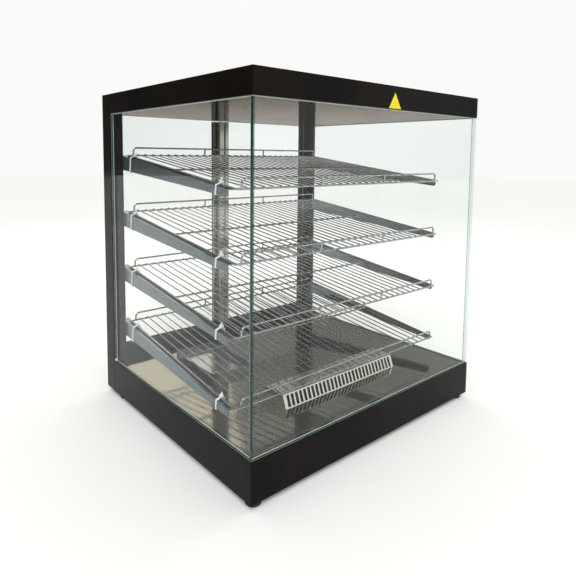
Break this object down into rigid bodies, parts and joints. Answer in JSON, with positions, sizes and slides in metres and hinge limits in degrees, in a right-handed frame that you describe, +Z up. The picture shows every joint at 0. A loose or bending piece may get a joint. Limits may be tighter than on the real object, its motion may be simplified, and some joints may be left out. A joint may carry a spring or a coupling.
{
  "type": "hot food display case",
  "caption": "Countertop heated display case with glass sides, sloping wire shelves on side brackets, a warm air vent in the floor and sliding glass rear doors.",
  "frame": {"origin": "on the surface the feet stand on, under the centre of the footprint", "axes": "+Z up; the customer side of the case faces -Y and the sliding doors face +Y; +X is to the right as seen from the customer side"},
  "size_m": [0.66, 0.596, 0.726],
  "materials": {
    "black_paint": "gloss black enamel",
    "mirror_steel": "bright polished stainless sheet",
    "steel": "satin stainless sheet",
    "chrome": "bright plated wire",
    "zinc": "dull zinc-plated sheet",
    "clear_glass": "clear toughened float glass with a green edge",
    "silicone": "translucent silicone",
    "nylon": "white nylon",
    "black_plastic": "black moulded plastic",
    "cream_plastic": "cream phenolic moulding",
    "rocker_green": "translucent green moulding",
    "lamp_amber": "translucent amber lens",
    "yellow_vinyl": "yellow vinyl",
    "rubber": "black rubber",
    "element": "heat-darkened sheath"
  },
  "bodies": {
    "case": {"base_shell": "black_paint", "base_bottom": "zinc", "rear_panel": "black_paint", "feet": "rubber", "foot_screws": "zinc", "floor_plate": "mirror_steel", "hot_air_cover": "mirror_steel", "column_left": "black_paint", "column_right": "black_paint", "rear_sill": "black_paint", "rear_header": "black_paint", "canopy_shell": "black_paint", "ceiling_plate": "mirror_steel", "glass_front": "clear_glass", "glass_left": "clear_glass", "glass_right": "clear_glass", "gasket_bottom": "silicone", "gasket_top": "silicone", "corner_beads": "silicone", "triangle_label": "yellow_vinyl", "bracket_left_1": "steel", "bracket_left_2": "steel", "bracket_left_3": "steel", "bracket_left_4": "steel", "bracket_right_1": "steel", "bracket_right_2": "steel", "bracket_right_3": "steel", "bracket_right_4": "steel", "shelf_deck_1": "chrome", "shelf_deck_2": "chrome", "shelf_deck_3": "chrome", "shelf_deck_4": "chrome", "shelf_rails_1": "chrome", "shelf_rails_2": "chrome", "shelf_rails_3": "chrome", "shelf_rails_4": "chrome", "shelf_ties": "nylon", "blower_scroll": "zinc", "blower_motor": "zinc", "heater_element": "element", "thermostat_body": "cream_plastic", "dial_plate": "steel", "switch_housing": "black_plastic", "indicator_lamps": "lamp_amber", "cable_gland": "black_plastic", "terminal_block": "cream_plastic", "panel_screws": "steel"},
    "blower_wheel": {"blower_wheel": "zinc"},
    "thermostat_knob": {"thermostat_knob": "black_plastic"},
    "power_rocker": {"power_rocker": "rocker_green"},
    "door_left": {"door_glass_left": "clear_glass", "door_stile_left": "steel", "door_rails_left": "black_plastic"},
    "door_right": {"door_glass_right": "clear_glass", "door_stile_right": "steel", "door_rails_right": "black_plastic"},
    "water_tray": {"water_tray": "steel"}
  },
  "joints": [
    {"name": "door_left_slide", "type": "slide", "parent": "case", "child": "door_left", "axis": [1, 0, 0], "range_m": [0, 0.262]},
    {"name": "door_right_slide", "type": "slide", "parent": "case", "child": "door_right", "axis": [1, 0, 0], "range_m": [-0.262, 0]},
    {"name": "knob_turn", "type": "hinge", "parent": "case", "child": "thermostat_knob", "pos_m": [0.15, 0.28, 0.05], "axis": [0, 1, 0], "range_deg": [0, 270]},
    {"name": "rocker_tilt", "type": "hinge", "parent": "case", "child": "power_rocker", "pos_m": [0.215, 0.274, 0.05], "axis": [1, 0, 0], "range_deg": [0, 20]},
    {"name": "blower_spin", "type": "hinge", "parent": "case", "child": "blower_wheel", "pos_m": [0, -0.148, 0.048], "axis": [1, 0, 0], "continuous": true},
    {"name": "tray_lift", "type": "slide", "parent": "case", "child": "water_tray", "axis": [0, 0, 1], "range_m": [0, 0.02]}
  ]
}
